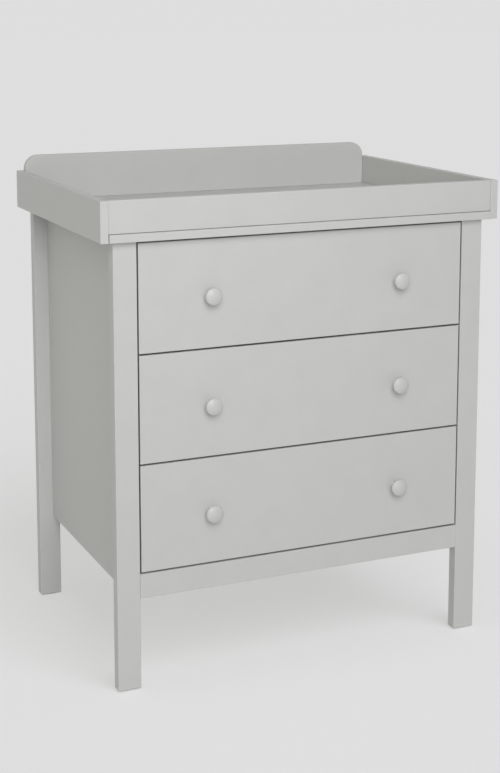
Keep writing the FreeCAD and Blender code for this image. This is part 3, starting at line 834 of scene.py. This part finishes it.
@dataclass(frozen=True)
class Headed:
    """Sizes of a headed fixing, from its head's outer face; each is an input of its node tree."""

    crown_radius: float          # outer face of the head
    crown_height: float
    rim_radius: float            # widest part of the head
    rim_height: float
    seat_height: float           # from the rim to the shank
    core_radius: float
    point_length: float
    recess_reach: float = 0.0    # from the middle to the end of each arm of the cross
    recess_width: float = 0.0
    recess_depth: float = 0.0    # a head without a recess goes with a shank without a thread
    thread_radius: float = 0.0
    thread_pitch: float = 1.0
    length: float = 0.0
    segments: int = 32

    def tree(self) -> NodeTree:
        """Makes the fixing's node tree.

        Returns:
            The tree.
        """
        tree = FixingTree(self)
        size = tree.given
        rim = tree.math("ADD", size["crown_height"], size["rim_height"])
        seat = tree.math("ADD", rim, size["seat_height"])
        taper = tree.math("SUBTRACT", size["length"], size["point_length"])
        tip = tree.math("MULTIPLY", size["core_radius"], 0.15)
        stations = [
            (0.0, size["crown_radius"]),
            (size["crown_height"], size["rim_radius"]),
            (rim, size["rim_radius"]),
            (seat, size["core_radius"]),
            (taper, size["core_radius"]),
            (size["length"], tip),
        ]
        solid = tree.turned(stations, tree.ring(size["segments"]))
        if not self.recess_depth:
            return tree.set_out(solid)

        reach = tree.math("MULTIPLY", size["recess_reach"], 2.0)
        depth = tree.math("MULTIPLY", size["recess_depth"], 2.0)
        for x, y in ((reach, size["recess_width"]), (size["recess_width"], reach)):
            arm = tree.node("GeometryNodeMeshCube", {"Size": tree.point(X=x, Y=y, Z=depth)}).outputs["Mesh"]
            feeds = {"Mesh 1": solid, "Mesh 2": arm}
            solid = tree.node("GeometryNodeMeshBoolean", feeds, operation="DIFFERENCE").outputs["Mesh"]

        run = tree.math("SUBTRACT", taper, seat)
        helix = tree.node("GeometryNodeCurveSpiral", {
            "Resolution": 16,
            "Rotations": tree.math("DIVIDE", run, size["thread_pitch"]),
            "Start Radius": size["core_radius"],
            "End Radius": size["core_radius"],
            "Height": run,
        }).outputs["Curve"]
        height = tree.math("SUBTRACT", size["thread_radius"], size["core_radius"])
        feeds = {"Geometry": tree.swept(helix, tree.ring(4), height), "Translation": tree.point(Z=seat)}
        thread = tree.node("GeometryNodeTransform", feeds).outputs["Geometry"]
        whole = tree.node("GeometryNodeJoinGeometry")
        tree.connect(thread, whole.inputs[0])
        tree.connect(solid, whole.inputs[0])
        return tree.set_out(whole.outputs["Geometry"])


@dataclass(frozen=True)
class Dowel:
    """Sizes of a fluted dowel with chamfered ends; each is an input of its node tree."""

    radius: float = 4.0 * MM
    flute_depth: float = 0.3 * MM
    chamfer: float = 1.0 * MM
    length: float = 0.0
    flutes: int = 16

    def tree(self) -> NodeTree:
        """Makes the dowel's node tree.

        Returns:
            The tree.
        """
        tree = FixingTree(self)
        size = tree.given
        bottom = tree.math("SUBTRACT", size["radius"], size["flute_depth"])
        inner = tree.math("DIVIDE", bottom, size["radius"])
        feeds = {"Points": size["flutes"], "Inner Radius": inner, "Outer Radius": 1.0}
        star = tree.node("GeometryNodeCurveStar", feeds).outputs["Curve"]
        small = tree.math("SUBTRACT", size["radius"], size["chamfer"])
        stations = [
            (0.0, small),
            (size["chamfer"], size["radius"]),
            (tree.math("SUBTRACT", size["length"], size["chamfer"]), size["radius"]),
            (size["length"], small),
        ]
        return tree.set_out(tree.turned(stations, star))


COUNTERSUNK = Headed(
    crown_radius=3.35 * MM, crown_height=0.15 * MM, rim_radius=3.6 * MM, rim_height=0.2 * MM,
    seat_height=1.85 * MM, core_radius=1.25 * MM, point_length=3.0 * MM, recess_reach=2.1 * MM,
    recess_width=0.9 * MM, recess_depth=1.3 * MM, thread_radius=1.78 * MM, thread_pitch=1.6 * MM,
)
PAN_HEAD = Headed(
    crown_radius=2.7 * MM, crown_height=0.9 * MM, rim_radius=3.98 * MM, rim_height=1.48 * MM,
    seat_height=0.02 * MM, core_radius=1.65 * MM, point_length=0.5 * MM, recess_reach=2.2 * MM,
    recess_width=1.0 * MM, recess_depth=1.4 * MM, thread_radius=1.98 * MM, thread_pitch=0.7 * MM,
)
PANEL_PIN = Headed(
    crown_radius=1.3 * MM, crown_height=0.2 * MM, rim_radius=1.7 * MM, rim_height=0.36 * MM,
    seat_height=0.04 * MM, core_radius=0.8 * MM, point_length=2.0 * MM, segments=20,
)


@dataclass
class FixingSet(Remade):
    """All the fixings of one kind in one CAD node."""

    sizes: Headed | Dowel

    def build(self) -> None:
        """Makes the fixings as one mesh, those of each length in turn."""
        rods = read_rods(self.node)
        tree = self.sizes.tree()
        joined = bmesh.new()
        for length in sorted({rod.length for rod in rods}):
            mesh = self.evaluate(tree, [rod for rod in rods if rod.length == length], length)
            joined.from_mesh(mesh)
            bpy.data.meshes.remove(mesh)
        self.hand_over(joined, "detailed")

    def evaluate(self, tree: NodeTree, rods: list[Rod], length: float) -> Mesh:
        """Runs the tree on the rods of one length.

        Args:
            tree: the node tree.
            rods: where the fixings go.
            length: how long they are.

        Returns:
            A plain mesh.
        """
        carrier = bpy.data.meshes.new("carrier")
        carrier.from_pydata([rod.head for rod in rods], [], [])
        attribute = carrier.attributes.new(FixingTree.DIRECTION, "FLOAT_VECTOR", "POINT")
        attribute.data.foreach_set("vector", [part for rod in rods for part in rod.direction])
        holder = new_piece("carrier", carrier)
        modifier = holder.modifiers.new("fixings", "NODES")
        modifier.node_group = tree
        values = {"length": length, "Material": self.finish.material()}
        for socket in tree.interface.items_tree:
            if socket.name in values:
                modifier[socket.identifier] = values[socket.name]
        graph = bpy.context.evaluated_depsgraph_get()
        made = bpy.data.meshes.new_from_object(holder.evaluated_get(graph))
        bpy.data.objects.remove(holder)
        bpy.data.meshes.remove(carrier)
        return made


# ---- the knobs

@dataclass
class Knob(Remade):
    """A turned mushroom knob: a waisted neck and a cap with a rounded rim and a low crown."""

    foot_radius: float = 9.5 * MM
    neck_radius: float = 8.3 * MM
    neck_length: float = 9.0 * MM
    waist: float = 1.4 * MM          # how far the neck draws in
    cap_thickness: float = 8.5 * MM  # from the widest part of the cap to its crown
    cap_belly: float = 1.6 * MM
    rim_width: float = 2.6 * MM
    rim_belly: float = 1.1 * MM
    crown: float = 3.4 * MM
    steps: int = 14                  # points along each arc
    segments: int = 96

    def profile(self, radius: float, projection: float) -> Profile:
        """The outline from the foot to the middle of the crown.

        Args:
            radius: the cap's largest radius.
            projection: from the foot to the crown.

        Returns:
            (radius, height) points.
        """
        shoulder_radius = radius - self.rim_width
        foot = (self.foot_radius, 0.0)
        neck = (self.neck_radius, self.neck_length)
        widest = (radius, projection - self.cap_thickness)
        shoulder = (shoulder_radius, projection - self.crown)
        sphere = (shoulder_radius ** 2 + self.crown ** 2) / (2.0 * self.crown)
        half_chord = math.hypot(shoulder_radius, self.crown) / 2.0
        crown_bow = sphere - math.sqrt(sphere ** 2 - half_chord ** 2)
        return [
            foot,
            *self.arc(foot, neck, -self.waist),
            *self.arc(neck, widest, self.cap_belly),
            *self.arc(widest, shoulder, self.rim_belly),
            *self.arc(shoulder, (0.0, projection), crown_bow),
        ]

    def arc(self, start: Span, end: Span, bow: float) -> Profile:
        """Points along an arc whose middle stands off its chord.

        Args:
            start: its first point, which isn't repeated.
            end: its last point.
            bow: how far its middle stands outside the chord.

        Returns:
            The points after the start.
        """
        first, last = Vector(start), Vector(end)
        chord = last - first
        outward = Vector((chord.y, -chord.x)).normalized()
        radius = (chord.length_squared / 4.0 + bow ** 2) / (2.0 * abs(bow))
        side = math.copysign(1.0, bow)
        centre = (first + last) / 2.0 + outward * (bow - side * radius)
        half_angle = math.asin(min(1.0, chord.length / (2.0 * radius)))
        points = []
        for step in range(1, self.steps + 1):
            angle = half_angle * (2.0 * step / self.steps - 1.0)
            offset = outward * side * math.cos(angle) + chord.normalized() * math.sin(angle)
            points.append(tuple(centre + offset * radius))
        return points

    def build(self) -> None:
        """Turns the knob at its CAD place."""
        low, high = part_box(self.node)
        middle = (low + high) / 2.0
        turns = [2.0 * math.pi * index / self.segments for index in range(self.segments)]
        shell = bmesh.new()
        rings = []
        for radius, height in self.profile((high.x - low.x) / 2.0, high.y - low.y)[:-1]:
            rings.append([
                shell.verts.new((middle.x + radius * math.cos(turn), high.y - height,
                                 middle.z + radius * math.sin(turn)))
                for turn in turns
            ])
        crown = shell.verts.new((middle.x, low.y, middle.z))
        back = shell.verts.new((middle.x, high.y, middle.z))
        sectors = [(index, (index + 1) % self.segments) for index in range(self.segments)]
        for inner, outer in zip(rings, rings[1:]):
            for this, after in sectors:
                shell.faces.new((inner[this], inner[after], outer[after], outer[this]))
        for this, after in sectors:
            shell.faces.new((rings[-1][this], rings[-1][after], crown))
            shell.faces.new((rings[0][after], rings[0][this], back))
        bmesh.ops.recalc_face_normals(shell, faces=shell.faces)
        self.hand_over(shell, "turned")


# ---- sub-assemblies

@dataclass(kw_only=True)
class SubAssembly:
    """Pieces that stand or move together as one body."""

    body: str
    sides: tuple[str, ...] = ("left", "right")

    def finishes(self) -> Finishes:
        """The finish of each CAD node that keeps its mesh."""
        raise NotImplementedError

    def build(self) -> None:
        """Makes the pieces that replace CAD nodes."""
        raise NotImplementedError

    def dress(self) -> None:
        """Gives the CAD nodes that keep their meshes their finishes."""
        for name, finish in self.finishes().items():
            for material_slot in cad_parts[name].material_slots:
                material_slot.material = finish.material()
            log.info("%s: %s", name, finish.name)

    def screws(self, node: str, sizes: Headed) -> None:
        """Makes the zinc-plated screws or pins of one CAD node."""
        FixingSet(node, self.body, ZINC_FIXING, Slot.ZINC_STEEL, sizes).build()

    def dowels(self, node: str, along: Axis) -> None:
        """Makes the beech dowels or pegs of one CAD node."""
        FixingSet(node, self.body, beech(along), Slot.BEECH, Dowel()).build()


@dataclass(kw_only=True)
class Cabinet(SubAssembly):
    """The standing frame: legs, panels, rails, top and the fixed slide members."""

    body: str = "cabinet"
    ends: tuple[str, ...] = ("front", "back")
    drawers: tuple[str, ...] = ("top", "middle", "bottom")

    def finishes(self) -> Finishes:
        """The finish of each of the frame's nodes.

        Returns:
            A finish by node name.
        """
        finishes: Finishes = {
            "bottom_rail_front": PAINTED_RAIL,
            "top_panel": PAINTED_TOP,
            "back_rail_bottom": birch(Axis.X, 21),
            "back_rail_top": birch(Axis.X, 22),
            "back_panel": FACING,
            "foot_glides": NYLON,
        }
        for number, side in enumerate(self.sides):
            finishes[f"side_panel_{side}"] = PAINTED_PANEL
            finishes[f"top_batten_{side}"] = birch(Axis.Y, 23 + number)
            for end in self.ends:
                finishes[f"leg_{end}_{side}"] = PAINTED_UPRIGHT
        for drawer in self.drawers:
            finishes[f"slide_outer_{drawer}"] = ZINC_STRIP
        return finishes

    def build(self) -> None:
        """Makes the frame's screws, pins and dowels."""
        self.screws("slide_screws", COUNTERSUNK)
        self.screws("batten_screws", COUNTERSUNK)
        self.screws("back_panel_pins", PANEL_PIN)
        self.dowels("frame_dowels", Axis.Y)


@dataclass(kw_only=True)
class Drawer(SubAssembly):
    """One drawer with its box, knobs and slides; its middle slide members are a body of their own."""

    name: str
    number: int

    def finishes(self) -> Finishes:
        """The finish of each of the drawer's nodes and of its middle slide members.

        Returns:
            A finish by node name.
        """
        lot = 3 * self.number
        finishes: Finishes = {
            f"drawer_front_{self.name}": PAINTED_FRONT,
            f"drawer_back_{self.name}": birch(Axis.X, lot),
            f"drawer_bottom_{self.name}": FACED_BOTTOM,
            f"slide_inner_{self.name}": ZINC_STRIP,
            f"slide_middle_{self.name}": ZINC_STRIP,
        }
        for number, side in enumerate(self.sides, start=1):
            finishes[f"drawer_side_{self.name}_{side}"] = birch(Axis.Y, lot + number)
        return finishes

    def build(self) -> None:
        """Turns the knobs and makes the screws."""
        for side in self.sides:
            Knob(f"knob_{self.name}_{side}", self.body, PAINTED_KNOB, Slot.PAINTED_WOOD).build()
        self.screws(f"knob_screws_{self.name}", PAN_HEAD)
        self.screws(f"slide_inner_screws_{self.name}", COUNTERSUNK)


@dataclass(kw_only=True)
class ChangingTray(SubAssembly):
    """The tray that lifts off the top: four boards, dowels and locating pegs."""

    body: str = "changing_tray"

    def finishes(self) -> Finishes:
        """The finish of each of the tray's boards."""
        boards: Finishes = {f"tray_side_{side}": PAINTED_BOARD_DEEP for side in self.sides}
        return boards | {"tray_front": PAINTED_BOARD_ACROSS, "tray_back": PAINTED_BOARD_ACROSS}

    def build(self) -> None:
        """Makes the fluted dowels and pegs."""
        self.dowels("tray_dowels", Axis.X)
        self.dowels("tray_pegs", Axis.Z)


# ---- floor, light and camera

@dataclass(frozen=True)
class Sun:
    """A broad soft light from one direction."""

    name: str
    source: tuple[float, float, float]           # the direction that it comes from
    strength: float
    width: float                                 # the angle that it fills


@dataclass
class Studio:
    """A plain pale floor without an end, soft light from the front and all round, and the camera."""

    backdrop: Colour = (0.730, 0.730, 0.730)     # what the camera sees behind the floor
    floor_reach: float = 60.0
    floor_glow: Colour = (0.938, 0.936, 0.937)   # makes up for what the floor's own shading lacks
    floor_shadow: float = 0.48                   # share of the floor's own shading that the camera sees
    floor_albedo: Colour = (0.80, 0.80, 0.80)
    ambient: Colour = (0.040, 0.037, 0.030)      # light from the front and from below
    ambient_left: Colour = (0.560, 0.590, 0.470)
    ambient_right: Colour = (0.270, 0.270, 0.255)
    ambient_back: Colour = (0.500, 0.500, 0.490)
    ambient_top: Colour = (0.300, 0.300, 0.310)
    ambient_top_span: Span = (0.5, 1.0)          # heights of the sky over which it comes in
    sun_colour: Colour = (0.990, 0.990, 1.030)
    broad_sun: Sun = Sun("broad light", (-0.220, -0.860, 0.480), 1.22, math.radians(38.0))
    floor_sun: Sun = Sun("floor light", (0.15, -0.70, 0.70), 1.5, math.radians(50.0))
    lamp_at: tuple[float, float, float] = (-0.52, -1.70, 1.42)
    lamp_width: float = 0.9
    lamp_height: float = 1.5
    lamp_power: float = 9.1
    lamp_aim: float = 0.8                        # share of the dresser's height that it points at
    camera_at: tuple[float, float, float] = (-1.2944, -2.9324, 1.3264)
    camera_yaw: float = math.radians(23.7610)
    camera_pitch: float = math.radians(8.7646)
    lens: float = 70.8186                        # millimetres, as is the sensor
    sensor: float = 36.0                         # along the picture's long side
    shift: float = -0.19

    def build(self) -> None:
        """Sets up the floor, the light and the camera."""
        floor = self.floor()
        self.world()
        self.suns(floor)
        self.lamp()
        self.camera()
        bpy.context.scene.view_settings.view_transform = "Standard"
        log.info("studio: floor, world, two suns, softbox and camera")

    def seen_share(self, graph: Graph) -> NodeSocket:
        """Tells what the camera sees, straight, mirrored or through glass, from other light.

        Args:
            graph: the tree that asks.

        Returns:
            1 for what the camera sees and 0 for the rest.
        """
        ray = graph.node("ShaderNodeLightPath").outputs
        mirrored = graph.math("MAXIMUM", ray["Is Glossy Ray"], ray["Is Transmission Ray"])
        return graph.math("MAXIMUM", ray["Is Camera Ray"], mirrored)

    def floor(self) -> Object:
        """Makes the floor, which keeps the object's shadow.

        Returns:
            The floor.
        """
        reach = self.floor_reach
        corners = [(-reach, -reach, 0.0), (reach, -reach, 0.0), (reach, reach, 0.0), (-reach, reach, 0.0)]
        mesh = bpy.data.meshes.new("floor")
        mesh.from_pydata(corners, [], [(0, 1, 2, 3)])
        material = bpy.data.materials.new("pale floor")
        material.use_nodes = True
        graph = Graph(material.node_tree)
        matt = graph.node("ShaderNodeBsdfDiffuse", {"Color": self.floor_albedo}).outputs["BSDF"]
        plain = graph.node("ShaderNodeEmission", {"Color": self.floor_glow}).outputs["Emission"]
        share = graph.math("MULTIPLY", self.seen_share(graph), 1.0 - self.floor_shadow)
        mixed = graph.node("ShaderNodeMixShader", {0: share, 1: matt, 2: plain}).outputs["Shader"]
        graph.node("ShaderNodeOutputMaterial", {"Surface": mixed})
        mesh.materials.append(material)
        floor = new_piece("floor", mesh)
        floor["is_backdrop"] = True
        return floor

    def world(self) -> None:
        """Makes the light from all round, strongest from the left, with the pale backdrop before it."""
        world = bpy.data.worlds.new("studio")
        world.use_nodes = True
        graph = Graph(world.node_tree)
        heading = graph.node("ShaderNodeTexCoord").outputs["Generated"]
        parts = graph.node("ShaderNodeSeparateXYZ", {0: heading}).outputs
        light: Feed = self.ambient
        for part, span, colour in (
            ("X", (0.0, -1.0), self.ambient_left),
            ("X", (0.0, 1.0), self.ambient_right),
            ("Y", (0.0, 1.0), self.ambient_back),
            ("Z", self.ambient_top_span, self.ambient_top),
        ):
            light = graph.blend(graph.spread(parts[part], span), light, colour)
        lit, seen = (
            graph.node("ShaderNodeBackground", {"Color": colour}).outputs["Background"]
            for colour in (light, self.backdrop)
        )
        feeds = {0: self.seen_share(graph), 1: lit, 2: seen}
        mixed = graph.node("ShaderNodeMixShader", feeds).outputs["Shader"]
        graph.node("ShaderNodeOutputWorld", {"Surface": mixed})
        bpy.context.scene.world = world

    def hang(self, light: bpy.types.Light, at: Vector, towards: Vector, lit: Iterable[Object]) -> None:
        """Hangs a light that reaches only some objects.

        Args:
            light: the light.
            at: where it hangs.
            towards: the direction that it shines in.
            lit: the objects that it lights.
        """
        holder = bpy.data.objects.new(light.name, light)
        holder.location = at
        holder.rotation_euler = towards.to_track_quat("-Z", "Y").to_euler()
        bpy.context.scene.collection.objects.link(holder)
        group = bpy.data.collections.new(f"lit by the {light.name}")
        for piece in lit:
            group.objects.link(piece)
        holder.light_linking.receiver_collection = group

    def suns(self, floor: Object) -> None:
        """Makes the dresser's sun and the floor's.

        Args:
            floor: the floor.
        """
        for sun, lit in ((self.broad_sun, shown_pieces()), (self.floor_sun, [floor])):
            light = bpy.data.lights.new(sun.name, "SUN")
            light.color = self.sun_colour
            light.energy = sun.strength
            light.angle = sun.width
            self.hang(light, Vector(), -Vector(sun.source), lit)

    def lamp(self) -> None:
        """Makes the softbox at the front left, aimed at the upper drawers."""
        light = bpy.data.lights.new("softbox", "AREA")
        light.energy = self.lamp_power
        light.shape = "RECTANGLE"
        light.size = self.lamp_width
        light.size_y = self.lamp_height
        low, high = CAD_BOX
        at = Vector(self.lamp_at)
        self.hang(light, at, Vector((low.x / 2.0, low.y, high.z * self.lamp_aim)) - at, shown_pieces())

    def camera(self) -> None:
        """Sets the camera at the photograph's viewing angle."""
        camera = bpy.data.cameras.new("camera")
        camera.sensor_width = self.sensor
        camera.lens = self.lens
        camera.shift_y = self.shift
        holder = bpy.data.objects.new("camera", camera)
        holder.location = self.camera_at
        holder.rotation_euler = (math.pi / 2 - self.camera_pitch, 0.0, -self.camera_yaw)
        bpy.context.scene.collection.objects.link(holder)
        bpy.context.scene.camera = holder


def main() -> None:
    """Dresses the dresser, sub-assembly by sub-assembly, and sets up the studio."""
    logging.basicConfig(level=logging.INFO, format="%(name)s: %(message)s")
    cabinet = Cabinet()
    drawers = [
        Drawer(body=f"drawer_{name}", name=name, number=number)
        for number, name in enumerate(cabinet.drawers)
    ]
    for assembly in (cabinet, *drawers, ChangingTray()):
        assembly.dress()
        assembly.build()
    Studio().build()


if __name__ == "__main__":
    main()
